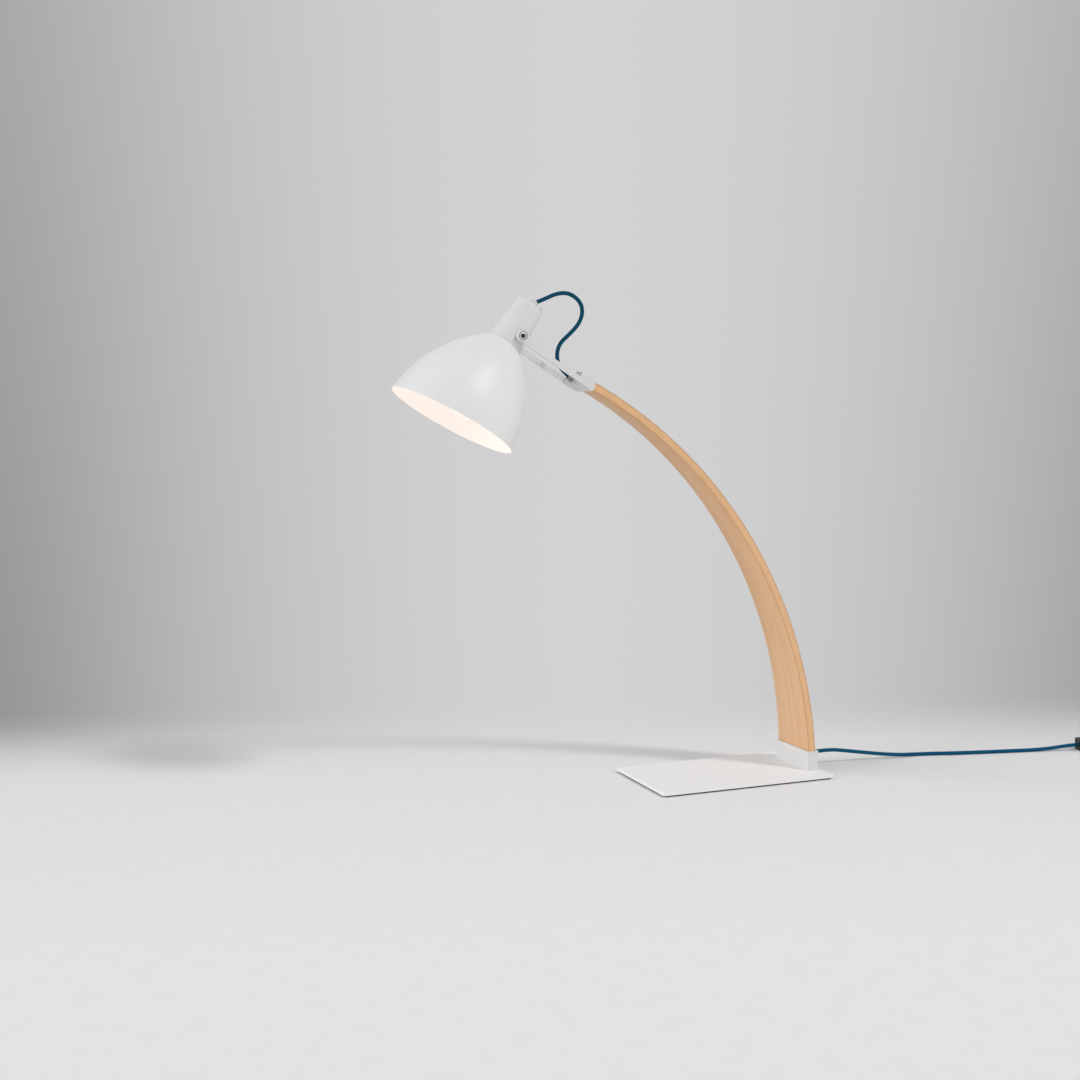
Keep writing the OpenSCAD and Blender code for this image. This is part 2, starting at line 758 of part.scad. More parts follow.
module head_cord() {
  color(CORD) tube(head_route, cord_d, 8, upright = true);
}
module mains_cord() {
  color(CORD) tube(mains_route, cord_d, 8);
}
module switch_cord() {
  color(CORD) tube(switch_route, cord_d, 8);
}

// The put-away length: a spiral in on the floor, up a layer where it turns back, and out again on top
function coil_radius(t) = coil_r - coil_step*(coil_reverse - abs(t - coil_reverse));
function coil_rise(t) = coil_layer*min(1, max(0, (t - coil_reverse + coil_half_climb)/coil_half_climb/2));
function coil_turn(t) = [
  coil_at.x + coil_radius(t)*cos(360*t - 90), coil_at.y + coil_radius(t)*sin(360*t - 90), coil_z + coil_rise(t)
];
coil_end = coil_turn(coil_turns);
coil_route = concat(
  [[coil_at.x - coil_lead, coil_at.y - coil_r, coil_z], [coil_at.x - coil_lead/2, coil_at.y - coil_r, coil_z]],
  [for (i = [0:coil_turns*coil_rings]) coil_turn(i/coil_rings)],
  [
    [coil_end.x, coil_end.y + coil_tail - coil_tail_level, plug_axis_z],
    [coil_end.x, coil_end.y + coil_tail, plug_axis_z],
    [coil_end.x, coil_end.y + coil_tail + coil_lead/2, plug_axis_z]
  ]
);
far_turn = coil_rings/2;
coil_gap = min([
  for (i = [0:len(coil_route) - 1 - far_turn], j = [i + far_turn:len(coil_route) - 1])
    norm(coil_route[i] - coil_route[j])
]) - cord_d;
echo(least_gap_between_turns = coil_gap);
module cord_coil() {
  color(CORD) tube(coil_route, cord_d, coil_sides);
}

// A band round all the turns at one place
tie_first = (tie_angle + 90)/360;
tie_last = floor(coil_reverse - tie_first) + tie_first;
tie_inner = min(coil_radius(tie_last), coil_radius(tie_last + 1)) - cord_d/2 - cord_fit - tie_t;
tie_outer = coil_radius(tie_first) + cord_d/2 + cord_fit - tie_t;
module cord_tie() {
  room = coil_layer + cord_d + 2*cord_fit;
  color(BLACK) translate([coil_at.x, coil_at.y, coil_lift - cord_fit - tie_t]) rotate([0, 0, tie_angle])
    rotate([90, 0, 0]) linear_extrude(tie_w, center = true) translate([tie_inner, 0]) difference() {
      square([tie_outer - tie_inner + 2*tie_t, room + 2*tie_t]);
      translate([tie_t, tie_t]) square([tie_outer - tie_inner, room]);
    }
}

// Switch: two shells, a rocker on its pin, terminals inside and screws from below

module switch_outline(inset) {
  round_rect(switch_l - 2*inset, switch_w - 2*inset, switch_corner - inset);
}
module switch_cord_holes() {
  translate([0, 0, switch_mid]) rotate([0, 90, 0])
    cylinder(h = switch_l + 2*cut, d = cord_d + 2*cord_fit, center = true);
}
module switch_lower() {
  color(BLACK) in_switch() difference() {
    linear_extrude(switch_mid) switch_outline(0);
    translate([0, 0, switch_wall]) linear_extrude(switch_h) difference() {
      switch_outline(switch_wall);
      for (x = [-1, 1]) translate([x*switch_screw_x, 0]) circle(switch_post_d/2);
      for (x = [-1, 1]) translate([x*switch_l/2, 0]) square([2*switch_grip, switch_w], center = true);
    }
    switch_cord_holes();
    switch_screw_places() switch_screw_form(screw_fit);
  }
}
switch_screw_x = 17;
switch_screw_d = 2.6;
switch_screw_head_d = 5;
switch_screw_head_h = 2;
switch_post_d = 6;
switch_grip = 8;
module switch_upper() {
  roof = switch_h - switch_wall;
  pin_room = rocker_w + 2*(rocker_cheek + side_play);
  color(BLACK) in_switch() difference() {
    union() {
      difference() {
        translate([0, 0, switch_mid]) linear_extrude(switch_h - switch_mid) switch_outline(0);
        translate([0, 0, switch_mid - cut]) linear_extrude(roof - switch_mid + cut) difference() {
          switch_outline(switch_wall);
          for (x = [-1, 1]) translate([x*switch_screw_x, 0]) circle(switch_post_d/2);
          for (x = [-1, 1]) translate([x*switch_l/2, 0]) square([2*switch_grip, switch_w], center = true);
        }
      }
      both_sides() translate([-rocker_pin_d, rocker_w/2 + side_play, rocker_axis_z - rocker_pin_d])
        cube([2*rocker_pin_d, rocker_cheek, switch_h - rocker_axis_z + rocker_pin_d - switch_wall/2]);
    }
    translate([0, 0, switch_h/2 + switch_mid])
      cube([rocker_l + 2*rocker_room, rocker_w + 2*side_play, switch_h], center = true);
    translate([0, 0, rocker_axis_z]) rotate([90, 0, 0])
      cylinder(h = pin_room + 2*cut, d = rocker_pin_d + 2*run_fit, center = true);
    switch_cord_holes();
    switch_screw_places() switch_screw_form(screw_fit);
  }
}

// The rocker is dished along its length and stands tilted on its pin
module switch_rocker() {
  half = rocker_l/2;
  drop = 2;
  dish = 1.2;
  rise = 2.2;
  color("#2b2c2e") in_switch() translate([0, 0, rocker_axis_z]) rotate([0, rocker_tilt, 0]) rotate([90, 0, 0]) {
    linear_extrude(rocker_w, center = true) difference() {
      polygon([[-half + 1, -drop], [half - 1, -drop], [half, rise], [-half, rise]]);
      translate([0, rise - dish + (half*half + dish*dish)/2/dish]) circle((half*half + dish*dish)/2/dish, $fn = 180);
    }
    cylinder(h = rocker_w + 2*(rocker_cheek - side_play), d = rocker_pin_d, center = true);
  }
}
module switch_screw_places() {
  in_x = switch_screw_x;
  for (x = [-1, 1]) translate([x*in_x, 0, 0]) children();
}
module switch_screw_form(gap) {
  translate([0, 0, switch_wall]) cylinder(h = switch_h - 2*switch_wall - 1 + gap, d = switch_screw_d + 2*gap);
  translate([0, 0, -gap]) cylinder(h = switch_screw_head_h + gap, d = switch_screw_head_d + 2*gap);
}
module switch_screws() {
  color(STEEL) in_switch() switch_screw_places() difference() {
    switch_screw_form(0);
    translate([0, 0, -cut]) cylinder(h = cut + 1, d = 2, $fn = HEX);
  }
}
module switch_terminals() {
  color(BRASS) in_switch() both_sides() translate([0, switch_w/2 - switch_wall - 3, switch_wall + 2])
    cube([14, 5, 4], center = true);
}

// Plug with a tapered relief, its cord coming in along +Y

module at_plug() {
  translate(plug_at) children();
}
module plug_relief() {
  color(BLACK) at_plug() rotate([-90, 0, 0]) difference() {
    cylinder(h = relief_l, d1 = cord_d + 3, d2 = cord_d + 6);
    translate([0, 0, -cut]) cylinder(h = coil_lead/2 + 2*cut, d = cord_d + 2*cord_fit);
  }
}
module plug_body() {
  waist = plug_w*0.72;
  shoulder = plug_l*0.3;
  color(BLACK) at_plug() translate([0, relief_l, -plug_t/2]) difference() {
    linear_extrude(plug_t) polygon([
      [-waist/2, 0], [waist/2, 0], [plug_w/2, shoulder], [plug_w/2, plug_l], [-plug_w/2, plug_l],
      [-plug_w/2, shoulder]
    ]);
    plug_pin_places() cylinder(h = pin_seat + screw_fit, d = pin_d + 2*screw_fit);
  }
}
pin_seat = 9;
module plug_pin_places() {
  for (x = [-1, 1]) translate([x*pin_pitch/2, plug_l, plug_t/2]) rotate([90, 0, 0]) children();
}
module plug_pins() {
  color(STEEL) at_plug() translate([0, relief_l, -plug_t/2]) plug_pin_places() {
    translate([0, 0, -pin_l + pin_d/2]) cylinder(h = pin_seat + pin_l - pin_d/2, d = pin_d);
    translate([0, 0, -pin_l + pin_d/2]) sphere(pin_d/2, $fn = 48);
  }
}

base_plate();
base_pad();
arm_socket();
socket_screws();
arm();
arm_screws();
base_cord_bush();
arm_cord();
fork();
cap_screws();
clamp_screw();
fork_cord_bush();
shade();
shade_neck();
pivot_bolts();
pivot_washers();
neck_cord_grip();
neck_screw();
cord_nipple();
lampholder_cap();
lampholder_skirt();
shade_ring();
screw_shell();
centre_contact();
bulb_glass();
bulb_cap();
bulb_contact();
head_cord();
mains_cord();
switch_lower();
switch_upper();
switch_rocker();
switch_screws();
switch_terminals();
switch_cord();
cord_coil();
cord_tie();
plug_relief();
plug_body();
plug_pins();
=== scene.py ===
# %% [markdown]
# A table lamp: a bent strip of light wood stands in a block on a white steel plate, and a white
# spun shade tilts in a fork on its end. The solids come packed from the CAD model, already in
# place and in metres, so this lesson only dresses them: cords, finishes, light and camera.
# First the packed frame is loaded, and the box that it fills is kept, to compare with at the end.

# %% Load the packed lamp
import json
import math

import bmesh
import bpy
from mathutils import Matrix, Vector


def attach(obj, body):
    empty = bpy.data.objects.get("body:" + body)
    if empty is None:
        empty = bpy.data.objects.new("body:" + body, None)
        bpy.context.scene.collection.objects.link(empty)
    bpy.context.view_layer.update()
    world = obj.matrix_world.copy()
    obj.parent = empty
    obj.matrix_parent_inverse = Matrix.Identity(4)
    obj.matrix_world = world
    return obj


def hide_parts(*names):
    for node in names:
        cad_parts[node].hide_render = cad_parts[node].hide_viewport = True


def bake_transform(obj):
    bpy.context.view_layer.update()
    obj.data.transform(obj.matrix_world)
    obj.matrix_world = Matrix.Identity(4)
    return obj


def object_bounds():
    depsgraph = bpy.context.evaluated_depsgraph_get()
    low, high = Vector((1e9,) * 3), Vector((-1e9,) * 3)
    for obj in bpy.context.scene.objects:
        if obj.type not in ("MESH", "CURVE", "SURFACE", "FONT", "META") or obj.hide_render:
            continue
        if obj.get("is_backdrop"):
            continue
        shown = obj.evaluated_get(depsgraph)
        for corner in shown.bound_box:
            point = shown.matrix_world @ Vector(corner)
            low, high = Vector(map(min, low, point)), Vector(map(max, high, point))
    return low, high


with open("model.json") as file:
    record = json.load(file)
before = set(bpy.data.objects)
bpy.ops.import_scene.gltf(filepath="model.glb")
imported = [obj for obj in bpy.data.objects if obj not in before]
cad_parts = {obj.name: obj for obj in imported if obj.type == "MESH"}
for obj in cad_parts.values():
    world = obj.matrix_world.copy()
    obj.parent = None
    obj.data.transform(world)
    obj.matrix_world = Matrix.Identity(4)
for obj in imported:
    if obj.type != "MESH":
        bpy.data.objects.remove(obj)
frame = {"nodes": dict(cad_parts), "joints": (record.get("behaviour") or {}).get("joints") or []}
cad_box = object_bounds()
nodes = frame["nodes"]
print("solids:", len(nodes), "box:", [tuple(round(v, 3) for v in corner) for corner in cad_box])

# %% [markdown]
# The camera stands where the photographer stood. Its place, its heading and its focal length were
# worked out from the straight edges of the plate and the sweep of the arm, so they are plain
# numbers here. Blender's camera looks along its own -Z, and to_track_quat turns it that way.

# %% Camera at the photograph's view
CAMERA_PLACE = Vector((-0.92364, -1.65649, 0.48663))
CAMERA_AZIMUTH = math.radians(-21.83)
CAMERA_PITCH = math.radians(5.37)
CAMERA_LENS_MM = 48.83
CAMERA_SENSOR_MM = 36
CAMERA_SEES = (0.05, 60)


def heading_back(azimuth, pitch):
    """The direction from what is looked at back to the camera."""
    level = math.cos(pitch)
    return Vector((math.sin(azimuth) * level, -math.cos(azimuth) * level, math.sin(pitch)))


camera_data = bpy.data.cameras.new("photo_camera")
camera_data.lens = CAMERA_LENS_MM
camera_data.sensor_width = CAMERA_SENSOR_MM
camera_data.clip_start, camera_data.clip_end = CAMERA_SEES
camera = bpy.data.objects.new("photo_camera", camera_data)
camera.location = CAMERA_PLACE
camera.rotation_mode = "QUATERNION"
view_back = heading_back(CAMERA_AZIMUTH, CAMERA_PITCH)
camera.rotation_quaternion = (-view_back).to_track_quat("-Z", "Y")
bpy.context.scene.collection.objects.link(camera)
bpy.context.scene.camera = camera
bpy.context.scene.view_settings.view_transform = "Standard"
print("camera looks along", [round(v, 3) for v in -view_back])

# %% [markdown]
# Every cord of the lamp follows a route, a list of given points. Straight pieces between them
# would show as kinks, so a smooth curve is run through the points (a Catmull-Rom spline: it passes
# through each point, heading from the one before towards the one after).

# %% Smooth line through a route
def smooth_line(points, step):
    """Points a step apart on a smooth line through the given points."""
    p = [Vector(q) for q in points]
    p = [p[0] * 2 - p[1]] + p + [p[-1] * 2 - p[-2]]
    line = []
    for a, b, c, d in zip(p, p[1:], p[2:], p[3:]):
        count = max(2, round((c - b).length / step))
        for k in range(count):
            t = k / count
            line.append(0.5 * (2 * b + (c - a) * t + (2 * a - 5 * b + 4 * c - d) * t * t
                               + (3 * b - a - 3 * c + d) * t ** 3))
    return line + [p[-2]]


def line_length(line):
    return sum((b - a).length for a, b in zip(line, line[1:]))


def in_metres(points):
    return [Vector(p) / 1000 for p in points]


corner = in_metres([(0, 0, 0), (30, 0, 0), (30, 40, 0)])
print("a corner of 70 mm, smoothed:", round(1000 * line_length(smooth_line(corner, 0.002)), 1), "mm")

# %% [markdown]
# A cloth-covered cord could be a curve with a round bevel, but a mesh tube takes a UV map that runs
# along the cord and round it, and the woven sleeve then follows every bend. The helper sets rings
# along the smooth line and turns each ring as little as it can from the last, so that the weave
# doesn't twist.

# %% Tube maker for the cords
CORD_RADIUS = 0.0025
RING_STEP = 0.002
RING_SIDES = 14


def cord_tube(name, points, step=RING_STEP, radius=CORD_RADIUS):
    """A closed tube along the points, with u round it and v along it in metres; and its line."""
    line = smooth_line(points, step)
    last = len(line) - 1
    mesh = bmesh.new()
    uv = mesh.loops.layers.uv.new("along_cord")
    tangents = [(line[min(i + 1, last)] - line[max(i - 1, 0)]).normalized() for i in range(last + 1)]
    turns = [2 * math.pi * k / RING_SIDES for k in range(RING_SIDES)]
    side = tangents[0].orthogonal().normalized()
    rings, run = [], 0.0
    for i, (centre, tangent) in enumerate(zip(line, tangents)):
        side = (side - tangent * side.dot(tangent)).normalized()
        across = tangent.cross(side)
        run += (centre - line[i - 1]).length if i else 0.0
        spots = [centre + radius * (math.cos(a) * side + math.sin(a) * across) for a in turns]
        rings.append((run, [mesh.verts.new(spot) for spot in spots]))
    for (v0, low), (v1, high) in zip(rings, rings[1:]):
        for k in range(RING_SIDES):
            n = (k + 1) % RING_SIDES
            face = mesh.faces.new((low[k], low[n], high[n], high[k]))
            face.smooth = True
            u0, u1 = k / RING_SIDES, (k + 1) / RING_SIDES
            for loop, place in zip(face.loops, ((u0, v0), (u1, v0), (u1, v1), (u0, v1))):
                loop[uv].uv = place
    mesh.faces.new(list(reversed(rings[0][1])))
    mesh.faces.new(rings[-1][1])
    data = bpy.data.meshes.new(name)
    mesh.to_mesh(data)
    mesh.free()
    tube = bpy.data.objects.new(name, data)
    bpy.context.scene.collection.objects.link(tube)
    return tube, line


print("cords are", 2000 * CORD_RADIUS, "mm thick, with", RING_SIDES, "sides")

# %% [markdown]
# The mains cord leaves the back of the foot, droops to the table and runs to the switch at the edge
# of the view. The routes are the CAD model's own, in millimetres, so the cloth lies just where the
# plain solid of the cord is, and stands in for it.

# %% Mains cord
mains_route = in_metres([
    (118, 0, 19), (127, 0, 19), (140, 0, 19.8), (154, 0, 20), (168.5, 0, 19.2), (183, 0, 17),
    (198, 0, 14.5), (213, 0, 12), (228, 0, 9.5), (243, -0.5, 7.2), (258, -1, 5.2), (274, -2, 3.6),
    (290, -3.2, 2.8), (306, -6, 2.6), (322, -10, 2.6), (340, -15.5, 2.6), (360, -21, 2.6),
    (380, -26, 2.6), (400, -30.5, 2.6), (420, -35, 2.6), (440, -39.2, 2.6), (458, -43, 2.6),
    (475, -46.5, 3), (491, -50, 4), (506, -53.5, 5.6), (519, -56.5, 6.9), (530, -59.1, 7.5),
    (537, -60.7, 7.5)])
mains_cord, mains_line = cord_tube("mains_cord_cloth", mains_route)
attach(mains_cord, "stand")
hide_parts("mains_cord")
print("mains cord", round(line_length(mains_line), 3), "m")

# %% [markdown]
# The switch, the put-away coil and the plug lie just past the edge of the view. The lead past the
# switch goes on into the coil without a break: it spirals in, climbs a layer where it turns back,
# and spirals out again to the plug. The coil is worked out turn by turn, because a formula keeps
# the windings evenly apart.

# %% Coiled lead
lead_route = in_metres([(583, -71.3, 7.5), (592, -73.4, 7.5), (602, -76, 6.5), (612, -79, 4.8),
                        (621, -82, 3.8), (629, -83.7, 3.5)])
COIL_CENTRE = (646, -44)
COIL_OUTER = 40
COIL_STEP = 5.6
COIL_TURNS = 6.25
COIL_REVERSE = 3.25
COIL_CLIMB = 0.5
COIL_LAYER = 5.5
COIL_Z = 3.5
COIL_LEAD = 10
POINTS_PER_TURN = 24
LEAD_STEP = 0.0025
PLUG_AXIS_Z = 7.5
PLUG_REACHES = (22, 30, 35)


def coil_point(turn):
    """A point of the coil, in millimetres, so many turns from its start."""
    radius = COIL_OUTER - COIL_STEP * (COIL_REVERSE - abs(turn - COIL_REVERSE))
    rise = min(1, max(0, (turn - COIL_REVERSE) / COIL_CLIMB + 0.5)) * COIL_LAYER
    angle = math.radians(360 * turn - 90)
    return (COIL_CENTRE[0] + radius * math.cos(angle),
            COIL_CENTRE[1] + radius * math.sin(angle), COIL_Z + rise)


coil_start = (COIL_CENTRE[0] - COIL_LEAD, COIL_CENTRE[1] - COIL_OUTER, COIL_Z)
coil_end = coil_point(COIL_TURNS)
windings = [coil_point(k / POINTS_PER_TURN) for k in range(int(COIL_TURNS * POINTS_PER_TURN) + 1)]
to_plug = [(coil_end[0], coil_end[1] + reach, PLUG_AXIS_Z) for reach in PLUG_REACHES]
coil_route = in_metres([coil_start] + windings + to_plug)
lead_cord, lead_line = cord_tube("coiled_lead_cloth", lead_route + coil_route, step=LEAD_STEP)
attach(lead_cord, "stand")
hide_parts("switch_cord", "cord_coil")
print("coiled lead", round(line_length(lead_line), 3), "m")

# %% [markdown]
# At the head the cord comes out of the neck, swings over in a loop and goes into the fork. It has to
# follow the shade when that tilts while its other end stays in the fork. A real cord gives way
# along its length and stays as thick as it is. The tube is laid out straight, each ring drawn in
# to a point, and then goes back to its loop.

# %% Cord loop at the head
loop_route = in_metres([
    (-270.08, 0, 604.27), (-265.52, 0, 606.32), (-259.5, 0, 608.6), (-251.8, 0, 611.8),
    (-243.5, 0, 615.4), (-235, 0, 617.8), (-227, 0, 618.4), (-219.4, 0, 616.7), (-212, 0, 612.2),
    (-206.8, 0, 606), (-204.9, 0, 599.4), (-205.3, 0, 591.8), (-209, 0, 583.2), (-215, 0, 575.6),
    (-223.5, 0, 567.5), (-231, 0, 560.6), (-235.5, 0, 553.8), (-237.5, 0, 546), (-236.8, 0, 536.5),
    (-232, 0, 527.2), (-223.4, 0, 519.4), (-214.8, 0, 515.2)])
LOOP_STEP = 0.0015
loop_cord, loop_line = cord_tube("head_loop_cloth", loop_route, step=LOOP_STEP)
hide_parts("head_cord")
looped = [v.co.copy() for v in loop_cord.data.vertices]
for v in loop_cord.data.vertices:
    v.co = (line_length(loop_line[:v.index // RING_SIDES + 1]), 0, 0)
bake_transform(loop_cord)
for v, place in zip(loop_cord.data.vertices, looped):
    v.co = place
print("loop", round(line_length(loop_line), 3), "m")

# %% [markdown]
# Inside the wooden strip the cord runs in a channel from the fork down to the foot. The strip is
# bent round one centre, so the cord's route there is a plain arc round the same centre. Nobody sees
# it, but the lamp is a real object, and the cord has to be somewhere.

# %% Cord inside the arm
BEND_CENTRE = Vector((-0.465, 0, -0.0025))
BEND_RADIUS = 0.575
CHANNEL_FROM, CHANNEL_TO = 2.6, 64.1
CHANNEL_POINTS = 24
INNER_RADIUS = 0.0024
INNER_STEP = 0.004


def bend_point(degrees):
    """A point in the middle of the strip, by its angle round the centre of the bend."""
    a = math.radians(degrees)
    return BEND_CENTRE + BEND_RADIUS * Vector((math.cos(a), 0, math.sin(a)))


inner_route = in_metres([(117.7, 0, 19), (114, 0, 19), (110.5, 0, 20.5)])
inner_route += [bend_point(CHANNEL_FROM + k * (CHANNEL_TO - CHANNEL_FROM) / CHANNEL_POINTS)
                for k in range(CHANNEL_POINTS + 1)]
inner_cord, inner_line = cord_tube("arm_cord_cloth", inner_route, INNER_STEP, INNER_RADIUS)
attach(inner_cord, "stand")
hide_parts("arm_cord")
print("inside the arm", round(line_length(inner_line), 3), "m")

# %% [markdown]
# Finishes come next. They are made of shader nodes, which could be set up by hand in the Shader
# Editor. Written out, one call per node gets long, so the small class below makes nodes in a tree,
# sets their sockets, and links a socket wherever it is given another socket in place of a value.

# %% Helper for wiring nodes
class Wiring:
    """Makes nodes in one tree and links them."""

    def __init__(self, tree):
        self.tree = tree

    def node(self, kind, inputs=None, **settings):
        made = self.tree.nodes.new(kind)
        for name, value in settings.items():
            setattr(made, name, value)
        for name, value in (inputs or {}).items():
            self.feed(made.inputs[name], value)
        return made

    def feed(self, socket, value):
        if isinstance(value, bpy.types.NodeSocket):
            self.tree.links.new(value, socket)
        else:
            socket.default_value = value

    def math(self, operation, *values):
        made = self.node("ShaderNodeMath", operation=operation)
        for socket, value in zip(made.inputs, values):
            self.feed(socket, value)
        return made.outputs[0]

    def dot(self, a, b):
        made = self.node("ShaderNodeVectorMath", {0: a, 1: b}, operation="DOT_PRODUCT")
        return made.outputs["Value"]

    def mix(self, factor, a, b):
        made = self.node("ShaderNodeMix", data_type="RGBA")
        for name, value in (("Factor", factor), ("A", a), ("B", b)):
            self.feed(made.inputs[name], value)
        return made.outputs["Result"]

    def ramp(self, value, low, high, to_low=0.0, to_high=1.0, shape="LINEAR"):
        """The value carried from one span to another, and held at the ends."""
        spans = {"Value": value, "From Min": low, "From Max": high,
                 "To Min": to_low, "To Max": to_high}
        made = self.node("ShaderNodeMapRange", spans, interpolation_type=shape)
        return made.outputs["Result"]

    def eased(self, value, low, high, to_low, to_high):
        """As ramp, but it starts and ends gently."""
        return self.ramp(value, low, high, to_low, to_high, shape="SMOOTHERSTEP")

    def noise(self, vector, scale, detail, roughness=0.55):
        made = self.node("ShaderNodeTexNoise", {"Vector": vector, "Scale": scale,
                                                "Detail": detail, "Roughness": roughness})
        return made.outputs["Fac"]


print("node helpers:", [name for name in vars(Wiring) if not name.startswith("_")])

# %% [markdown]
# A node group works like a function for shaders: it is built once, with named inputs and outputs,
# and each material places it with its own values. Colours are picked as they look on a screen, in
# steps of 0 to 255, but shaders count light evenly, so a helper turns the one into the other.

# %% Helpers for node groups and colours
SOCKETS = {"color": "NodeSocketColor", "value": "NodeSocketFloat", "vector": "NodeSocketVector"}
EFFECT_OUTPUTS = {"Colour": "color", "Roughness": "value", "Height": "value"}


def new_effect(name, inputs):
    """A shader node group with these inputs, of name: kind, that gives EFFECT_OUTPUTS."""
    tree = bpy.data.node_groups.new(name, "ShaderNodeTree")
    for in_out, sockets in (("INPUT", inputs), ("OUTPUT", EFFECT_OUTPUTS)):
        for label, kind in sockets.items():
            tree.interface.new_socket(label, in_out=in_out, socket_type=SOCKETS[kind])
    wires = Wiring(tree)
    return tree, wires, wires.node("NodeGroupInput").outputs, wires.node("NodeGroupOutput").inputs


def linear(r, g, b):
    """A colour given in 0 to 255 screen steps, as the shader's linear colour."""
    def channel(v):
        v /= 255
        return v / 12.92 if v <= 0.04045 else ((v + 0.055) / 1.055) ** 2.4
    return (channel(r), channel(g), channel(b), 1.0)


print("mid grey on the screen is", round(linear(128, 128, 128)[0], 3), "to a shader")

# %% [markdown]
# Powder-coated steel isn't a flat white. Seen close, it has a fine orange-peel skin, its sheen
# changes a little from place to place, and handling leaves the faintest grey. The group puts out a
# colour, a roughness and a height for a Bump node, all from noise in the lamp's own coordinates.

# %% Shared effect: coated skin
PATCH_SCALE, PATCH_DETAIL = 14.0, 4.0
PEEL_DETAIL = 2.0
SHADE_SPAN = (0.45, 0.8, 0.0, 0.45)
SHEEN_SPAN = (0.3, 0.7, -0.04, 0.06)
coat_tree, w, given, out = new_effect(
    "coated_skin",
    {"Vector": "vector", "Colour": "color", "Shade": "color", "Peel Scale": "value", "Gloss": "value"})
patches = w.noise(given["Vector"], PATCH_SCALE, PATCH_DETAIL)
peel = w.noise(given["Vector"], given["Peel Scale"], PEEL_DETAIL)
w.feed(out["Colour"], w.mix(w.ramp(patches, *SHADE_SPAN), given["Colour"], given["Shade"]))
w.feed(out["Roughness"], w.math("ADD", given["Gloss"], w.ramp(patches, *SHEEN_SPAN)))
w.feed(out["Height"], peel)
print("group", coat_tree.name, "sockets", len(coat_tree.interface.items_tree))

# %% [markdown]
# The strip is bent, so its grain is bent too. A flat texture would run straight through it, so the
# grain is laid out in the bend's own coordinates: how far a point is from the centre of the bend,
# how far across the strip, and how far along the arc. Each kind of noise is drawn out along the arc
# by its own share: the fine straight lines and the pores of a pale hardwood the most, slow bands of
# warmer colour less.

# %% Shared effect: grain that follows the bend, its noises
grain_tree, w, given, out = new_effect(
    "bent_grain",
    {"Vector": "vector", "Normal": "vector", "Pale": "color", "Warm": "color", "Fleck": "color",
     "Side": "color"})
spot = w.node("ShaderNodeSeparateXYZ", {"Vector": given["Vector"]}).outputs
from_x = w.math("SUBTRACT", spot["X"], BEND_CENTRE.x)
from_z = w.math("SUBTRACT", spot["Z"], BEND_CENTRE.z)
squares = [w.math("MULTIPLY", side, side) for side in (from_x, from_z)]
out_from_centre = w.math("SQRT", w.math("ADD", *squares))
along_arc = w.math("MULTIPLY", w.math("ARCTAN2", from_z, from_x), BEND_RADIUS)
GRAIN_NOISES = {  # shares of thickness and of the arc, scale, detail, roughness
    "lines": (1.0, 0.016, 520.0, 3.0, 0.6), "bands": (0.6, 0.05, 60.0, 3.0, 0.5),
    "slow": (1.0, 0.3, 12.0, 2.0, 0.5), "pores": (1.0, 0.06, 1100.0, 2.0, 0.5)}
grain = {}
for kind, (thick_share, arc_share, *look) in GRAIN_NOISES.items():
    laid_out = w.node("ShaderNodeCombineXYZ", {
        "X": spot["Y"], "Y": w.math("MULTIPLY", out_from_centre, thick_share),
        "Z": w.math("MULTIPLY", along_arc, arc_share)})
    grain[kind] = w.noise(laid_out.outputs[0], *look)
print("grain noises:", sorted(grain))

# %% [markdown]
# The noises then tint the wood. The bands and the slow noise warm it, the lines and the pores leave
# short dark flecks. The strip's cut sides, which look out to Y, take a lighter, more golden tone, and
# their two edges are darker.

# %% Shared effect: grain that follows the bend, its colours
SIDE_SHARE = 0.5
EDGE_SPAN = (0.0032, 0.0048, 0.0, 0.75)
TINTS = [("bands", (0.35, 0.68, 0.1, 0.65), "Warm"), ("slow", (0.35, 0.7, 0.0, 0.35), "Warm"),
         ("lines", (0.5, 0.72, 0.0, 0.5), "Fleck"), ("pores", (0.58, 0.7, 0.0, 0.4), "Fleck")]
body = given["Pale"]
for kind, span, tint in TINTS:
    body = w.mix(w.ramp(grain[kind], *span), body, given[tint])
normal_y = w.node("ShaderNodeSeparateXYZ", {"Vector": given["Normal"]}).outputs["Y"]
looks_aside = w.ramp(w.math("ABSOLUTE", normal_y), 0.5, 0.9)
body = w.mix(w.math("MULTIPLY", looks_aside, SIDE_SHARE), body, given["Side"])
off_middle = w.math("ABSOLUTE", w.math("SUBTRACT", out_from_centre, BEND_RADIUS))
cut_edge = w.math("MULTIPLY", looks_aside, w.ramp(off_middle, *EDGE_SPAN))
w.feed(out["Colour"], w.mix(cut_edge, body, given["Fleck"]))
w.feed(out["Roughness"], w.ramp(grain["lines"], 0.3, 0.7, 0.42, 0.56))
pore_depth = w.ramp(grain["pores"], 0.6, 0.72, 0.0, 0.5)
w.feed(out["Height"], w.math("SUBTRACT", w.math("MULTIPLY", grain["lines"], 0.6), pore_depth))
print("group", grain_tree.name, "follows a bend of", BEND_RADIUS, "m")

# %% [markdown]
# The cord's sleeve is braided: two sets of strands cross, one winding left and one winding right, and
# pass over and under each other. Modelled strands would be far too many faces, so two slanted sine
# waves in the tube's own UV give the strands, and the sign of a third product of sines says which of
# the two lies on top.

